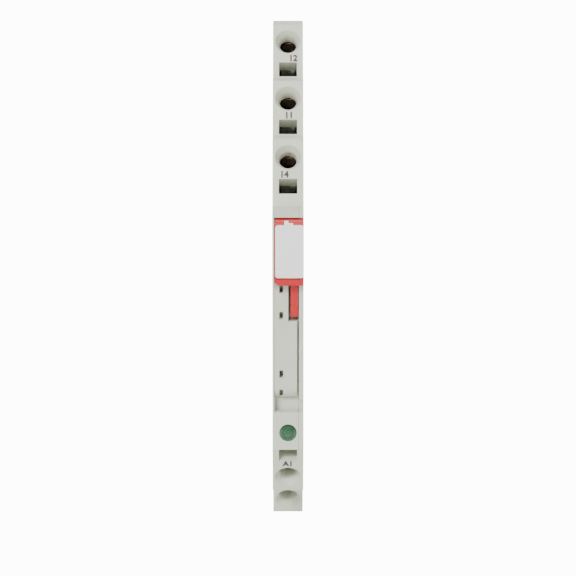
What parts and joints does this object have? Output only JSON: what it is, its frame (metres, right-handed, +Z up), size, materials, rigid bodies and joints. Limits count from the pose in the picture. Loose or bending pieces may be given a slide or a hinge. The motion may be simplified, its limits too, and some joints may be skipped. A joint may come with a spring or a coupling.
{
  "type": "din rail interface relay module",
  "caption": "Slim grey relay module that clips on a 35 mm rail, with stepped spring-clamp terminals, a red ejector lever with a white marker, bridge slots and a green status light",
  "frame": {"origin": "middle of the rail seat, level with the rail's centreline", "axes": "X across the module's width, -Y to the front, +Y into the rail, +Z up with the three-terminal end at the top"},
  "size_m": [0.0062, 0.0797, 0.1013],
  "materials": {
    "housing_grey": "fine-grained moulded polyamide",
    "case_grey": "fine-grained moulded plastic",
    "lever_red": "satin moulded plastic",
    "marker_white": "smooth satin",
    "lens_green": "tinted clear plastic",
    "foot_dark": "moulded",
    "spring_steel": "bright",
    "pin_steel": "ground",
    "copper_alloy": "tinned copper alloy",
    "contact_alloy": "bright",
    "soft_iron": "plain",
    "winding_copper": "enamelled wire",
    "bobbin_cream": "moulded",
    "base_black": "moulded",
    "board_green": "solder mask",
    "chip_black": "moulded",
    "led_white": "clear"
  },
  "bodies": {
    "root": {"main_housing": "housing_grey", "side_cover": "housing_grey", "lever_pin": "pin_steel", "status_lens": "lens_green", "status_led": "led_white", "circuit_board": "board_green", "bridge_rectifier": "chip_black", "resistors": "chip_black", "smoothing_capacitor": "chip_black", "suppression_diode": "chip_black", "foot_spring": "spring_steel", "clamp_spring_12": "spring_steel", "clamp_spring_11": "spring_steel", "clamp_spring_14": "spring_steel", "clamp_spring_a1": "spring_steel", "clamp_spring_a2": "spring_steel", "current_bar_12": "copper_alloy", "current_bar_11": "copper_alloy", "current_bar_14": "copper_alloy", "current_bar_a1": "copper_alloy", "current_bar_a2": "copper_alloy", "contact_fork_12": "contact_alloy", "contact_fork_11": "contact_alloy", "contact_fork_14": "contact_alloy", "contact_fork_a1": "contact_alloy", "contact_fork_a2": "contact_alloy"},
    "foot": {"rail_foot": "foot_dark"},
    "lever": {"ejector_lever": "lever_red", "marker_plate": "marker_white"},
    "relay": {"relay_case": "case_grey", "relay_base": "base_black", "coil_pins": "contact_alloy", "coil_bobbin": "bobbin_cream", "coil_winding": "winding_copper", "coil_core": "soft_iron", "yoke": "soft_iron", "common_terminal": "contact_alloy", "closed_contact": "contact_alloy", "open_contact": "contact_alloy"},
    "armature": {"armature": "soft_iron"},
    "card": {"actuator_card": "bobbin_cream"},
    "contact": {"moving_contact": "contact_alloy"},
    "blade_12": {"clamp_blade_12": "spring_steel"},
    "blade_11": {"clamp_blade_11": "spring_steel"},
    "blade_14": {"clamp_blade_14": "spring_steel"},
    "blade_a1": {"clamp_blade_a1": "spring_steel"},
    "blade_a2": {"clamp_blade_a2": "spring_steel"}
  },
  "joints": [
    {"name": "foot_slide", "type": "slide", "parent": "root", "child": "foot", "axis": [0, 0, -1], "range_m": [0, 0.003], "stiffness_N_per_m": 2000, "springref_m": -0.002, "deforming": ["foot_spring"]},
    {"name": "lever_hinge", "type": "hinge", "parent": "root", "child": "lever", "pos_m": [0, -0.0734, 0.0148], "axis": [-1, 0, 0], "range_deg": [0, 55]},
    {"name": "relay_eject", "type": "slide", "parent": "root", "child": "relay", "axis": [0, -1, 0], "range_m": [0, 0.0032]},
    {"name": "armature_hinge", "type": "hinge", "parent": "relay", "child": "armature", "pos_m": [0, -0.0576, -0.0009], "axis": [1, 0, 0], "range_deg": [0, 4], "stiffness_Nm_per_rad": 0.004, "springref_deg": -2.86},
    {"name": "card_slide", "type": "slide", "parent": "relay", "child": "card", "axis": [0, 0, -1], "range_m": [0, 0.0007]},
    {"name": "contact_hinge", "type": "hinge", "parent": "relay", "child": "contact", "pos_m": [0, -0.057, 0.0054], "axis": [1, 0, 0], "range_deg": [0, 3.8]},
    {"name": "clamp_12", "type": "hinge", "parent": "root", "child": "blade_12", "pos_m": [0, -0.03545, 0.0358], "axis": [-1, 0, 0], "range_deg": [0, 12], "stiffness_Nm_per_rad": 0.12, "springref_deg": -5.73},
    {"name": "clamp_11", "type": "hinge", "parent": "root", "child": "blade_11", "pos_m": [0, -0.04679, 0.02555], "axis": [-1, 0, 0], "range_deg": [0, 12], "stiffness_Nm_per_rad": 0.12, "springref_deg": -5.73},
    {"name": "clamp_14", "type": "hinge", "parent": "root", "child": "blade_14", "pos_m": [0, -0.05812, 0.0153], "axis": [-1, 0, 0], "range_deg": [0, 12], "stiffness_Nm_per_rad": 0.12, "springref_deg": -5.73},
    {"name": "clamp_a1", "type": "hinge", "parent": "root", "child": "blade_a1", "pos_m": [0, -0.06366, -0.0259], "axis": [1, 0, 0], "range_deg": [0, 12], "stiffness_Nm_per_rad": 0.12, "springref_deg": -5.73},
    {"name": "clamp_a2", "type": "hinge", "parent": "root", "child": "blade_a2", "pos_m": [0, -0.04497, -0.0359], "axis": [1, 0, 0], "range_deg": [0, 12], "stiffness_Nm_per_rad": 0.12, "springref_deg": -5.73}
  ],
  "couplings": [
    {"joint": "lever_hinge", "follows": "relay_eject", "rad_per_m": 299.9},
    {"joint": "card_slide", "follows": "armature_hinge", "m_per_rad": 0.01},
    {"joint": "contact_hinge", "follows": "armature_hinge", "ratio": 0.9434}
  ]
}
